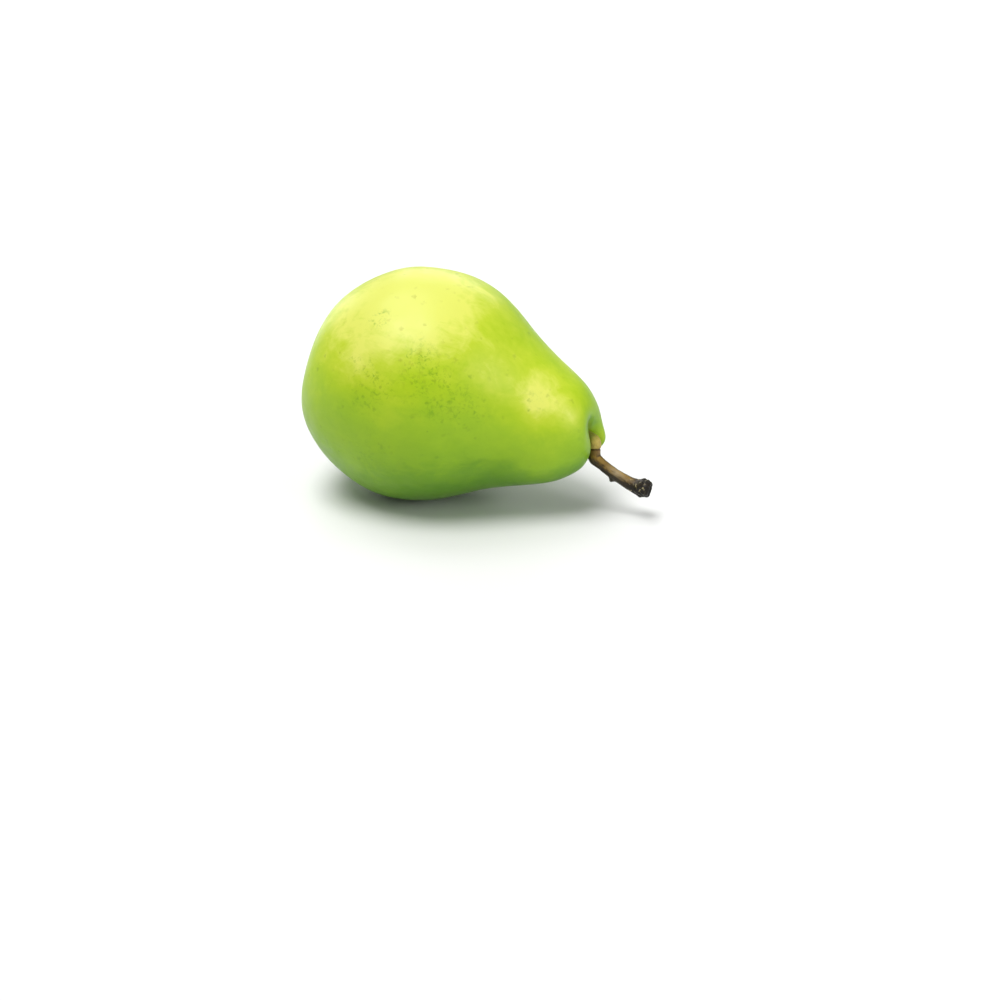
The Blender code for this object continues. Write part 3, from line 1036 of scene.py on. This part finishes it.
def skin_nodes(s):
    place = s.place()
    grain = s.vector("grain")
    tones = [((ripe_and_lit + 1.0) / 2.0, tone) for ripe_and_lit, tone in SKIN_TONES]
    colour = s.ramp(s.step(ripeness_and_light(s, place, grain), -1.0, 1.0, smooth=False), tones)
    scattered = s.noise(place, 12.0, rough=0.6, seed=6.0)
    crowd = s.plus(s.value("speck_cluster"), s.step(scattered, 0.5, 0.75, 0.0, 0.45))
    specked = specks(s, place, crowd)
    # specks are painted paler on the lit top, with the painted highlight, and greener below
    speck_colour = s.mix(s.step(s.value("facing_sun_and_light"), 0.6, 1.0), SPECK_GREEN, SPECK_GOLD)
    colour = s.painted(colour, specked, 0.50, speck_colour)
    smudge = s.step(s.noise(place, 1.9, detail=3.0, rough=0.7, seed=8.0, warp=1.2), 0.50, 0.68)
    colour = s.painted(colour, s.times(smudge, s.step(crowd, 0.10, 0.85)), 0.62, SKIN_SHADE)
    rust = russet(s, grain)
    colour = s.painted(colour, rust, 0.6, RUSSET)
    waxiness = s.noise(place, 5.0, detail=3.0, rough=0.6, seed=10.0)
    rough = s.plus(s.step(waxiness, 0.3, 0.7, 0.36, 0.48), s.times(rust, 0.2))
    s.set(Base_Color=colour, Roughness=rough, Metallic=0.0, IOR=1.46, Specular_IOR_Level=0.36)
    s.set(Subsurface_Weight=0.12, Subsurface_Radius=(1.0, 0.8, 0.25), Subsurface_Scale=0.003)
    s.set(Sheen_Weight=0.08, Sheen_Roughness=0.4, Sheen_Tint=(0.95, 1.0, 0.72, 1.0))
    s.bumps((
        (s.noise(place, 3.5, seed=11.0), 0.10, 0.5),
        (s.noise(place, 0.7, detail=3.0, rough=0.6, seed=12.0), 0.03, 0.5),
        (specked, 0.04, 0.6),
    ))


def stem_nodes(s):
    place = s.place()
    grain = s.vector("grain")
    # the bark's colour by its place along the stem, with wavering borders
    share = s.math("DIVIDE", s.value("along"), STEM_LAST_SPAN)
    share = s.plus(share, s.swing(s.noise(place, 2.0, rough=0.6, seed=1.0), 0.05))
    span = s.times(share, STEM_LAST_SPAN)
    colour = s.ramp(share, [(at / STEM_LAST_SPAN, tone) for at, tone in STEM_TONES])
    fibre = s.step(s.noise(grain, 0.7, detail=4.0, rough=0.65, seed=2.0, warp=0.5), 0.35, 0.65)
    colour = s.painted(colour, fibre, 0.30, STEM_DARK)
    # pale strips on its middle
    strips = s.step(s.noise(grain, 1.4, detail=3.0, rough=0.6, seed=3.0), 0.55, 0.75)
    on_middle = s.times(s.step(span, 4.0, 5.0), s.step(span, 9.2, 8.4))
    colour = s.painted(colour, s.times(strips, on_middle), 0.5, STEM_GOLD)
    # painted shade: away from its lit side the bark is painted dark, and more so further out
    facing = s.math("SUBTRACT", s.value("facing_light"), s.step(span, 5.0, 9.0, 0.0, 0.16))
    painted_shade = s.step(s.plus(facing, s.swing(fibre, 0.22)), 0.92, 0.42)
    woody = s.step(span, 3.8, 4.7)
    colour = s.painted(colour, s.times(painted_shade, woody), 0.92, STEM_BLACK)
    # pale flecks on the knob
    flecks = s.step(s.noise(place, 0.9, rough=0.6, seed=4.0, warp=0.2), 0.56, 0.68)
    on_knob = s.times(s.step(span, 8.0, 9.0), s.step(span, 11.0, 10.4))
    colour = s.painted(colour, s.times(flecks, on_knob), 0.62, STEM_FLECK)
    wear = s.noise(grain, 0.8, detail=3.0, rough=0.6, seed=5.0)
    s.set(Base_Color=colour, Roughness=s.step(wear, 0.3, 0.7, 0.34, 0.62))
    s.set(Metallic=0.0, IOR=1.5, Specular_IOR_Level=0.35)
    s.bumps((
        (s.noise(grain, 0.8, detail=4.0, rough=0.65, seed=2.0, warp=0.5), 0.18, 0.7),
        (s.noise(place, 0.45, detail=3.0, rough=0.7, seed=7.0), 0.10, 0.6),
    ))


def calyx_nodes(s):
    place = s.place()
    wavering = s.times(s.noise(place, 1.2, detail=3.0, rough=0.6, seed=1.0), 0.5)
    along = s.plus(s.value("along"), wavering)
    colour = s.ramp(s.math("DIVIDE", along, 1.5), CALYX_TONES)
    blotches = s.step(s.noise(place, 0.6, detail=3.0, rough=0.7, seed=2.0), 0.45, 0.65)
    colour = s.painted(colour, blotches, 0.6, CALYX_DARK)
    rough = s.step(s.noise(place, 0.9, seed=3.0), 0.3, 0.7, 0.7, 0.95)
    s.set(Base_Color=colour, Roughness=rough, Metallic=0.0, IOR=1.45)
    s.bumps(((s.noise(place, 0.5, detail=4.0, rough=0.7, seed=4.0), 0.25, 0.8),))


def floor_nodes(s):
    s.set(Base_Color=FLOOR_COLOUR, Roughness=0.9, IOR=1.3)


# --- The studio ---------------------------------------------------------------------------------
def aim_at(obj, target):
    obj.rotation_euler = (target - obj.location).to_track_quat("-Z", "Y").to_euler()


def make_camera(target):
    data = bpy.data.cameras.new("camera")
    data.lens = LENS
    data.shift_x, data.shift_y = LENS_SHIFT
    data.clip_start = 0.01
    data.dof.use_dof = False
    camera = bpy.data.objects.new("camera", data)
    bpy.context.scene.collection.objects.link(camera)
    camera.location = target + CAMERA_DISTANCE * direction(CAMERA_AZIMUTH, CAMERA_ELEVATION)
    aim_at(camera, target)
    bpy.context.scene.camera = camera


def make_lights(target):
    sun = bpy.data.lights.new("key_light", "SUN")
    sun.energy = SUN_STRENGTH
    sun.angle = math.radians(SUN_ANGLE)
    key = bpy.data.objects.new("key_light", sun)
    bpy.context.scene.collection.objects.link(key)
    key.location = target + direction(SUN_AZIMUTH, SUN_ELEVATION)
    aim_at(key, target)
    for name, azimuth, elevation, distance, width, height, power in LIGHTS:
        data = bpy.data.lights.new(name, "AREA")
        data.shape = "RECTANGLE"
        data.size = width
        data.size_y = height
        data.energy = power
        light = bpy.data.objects.new(name, data)
        bpy.context.scene.collection.objects.link(light)
        light.location = target + distance * direction(azimuth, elevation)
        aim_at(light, target)


def make_world():
    """A dim even light from all round, in front of a pale backdrop that only the camera sees."""
    world = bpy.data.worlds.new("studio")
    world.use_nodes = True
    tree = world.node_tree
    background = tree.nodes["Background"]
    background.inputs["Color"].default_value = (1.0, 1.0, 1.0, 1.0)
    backdrop = tree.nodes.new("ShaderNodeMix")
    path = tree.nodes.new("ShaderNodeLightPath")
    tree.links.new(path.outputs["Is Camera Ray"], backdrop.inputs["Factor"])
    backdrop.inputs["A"].default_value = WORLD_STRENGTH
    backdrop.inputs["B"].default_value = BACKDROP_BRIGHTNESS
    tree.links.new(backdrop.outputs["Result"], background.inputs["Strength"])
    bpy.context.scene.world = world


def make_floor():
    half = FLOOR_SIZE / 2.0
    corners = [(-half, -half, 0.0), (half, -half, 0.0), (half, half, 0.0), (-half, half, 0.0)]
    mesh = bpy.data.meshes.new("floor")
    mesh.from_pydata(corners, [], [(0, 1, 2, 3)])
    floor = bpy.data.objects.new("floor", mesh)
    bpy.context.scene.collection.objects.link(floor)
    mesh.materials.append(material_of("floor", floor_nodes))


def main():
    low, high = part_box("fruit")
    target = (low + high) / 2.0
    make_camera(target)
    make_skin().data.materials.append(material_of("pear_skin", skin_nodes))
    make_stem().data.materials.append(material_of("stem_bark", stem_nodes))
    make_calyx()
    make_floor()
    make_lights(target)
    make_world()
    bpy.context.scene.view_settings.view_transform = "Standard"


main()
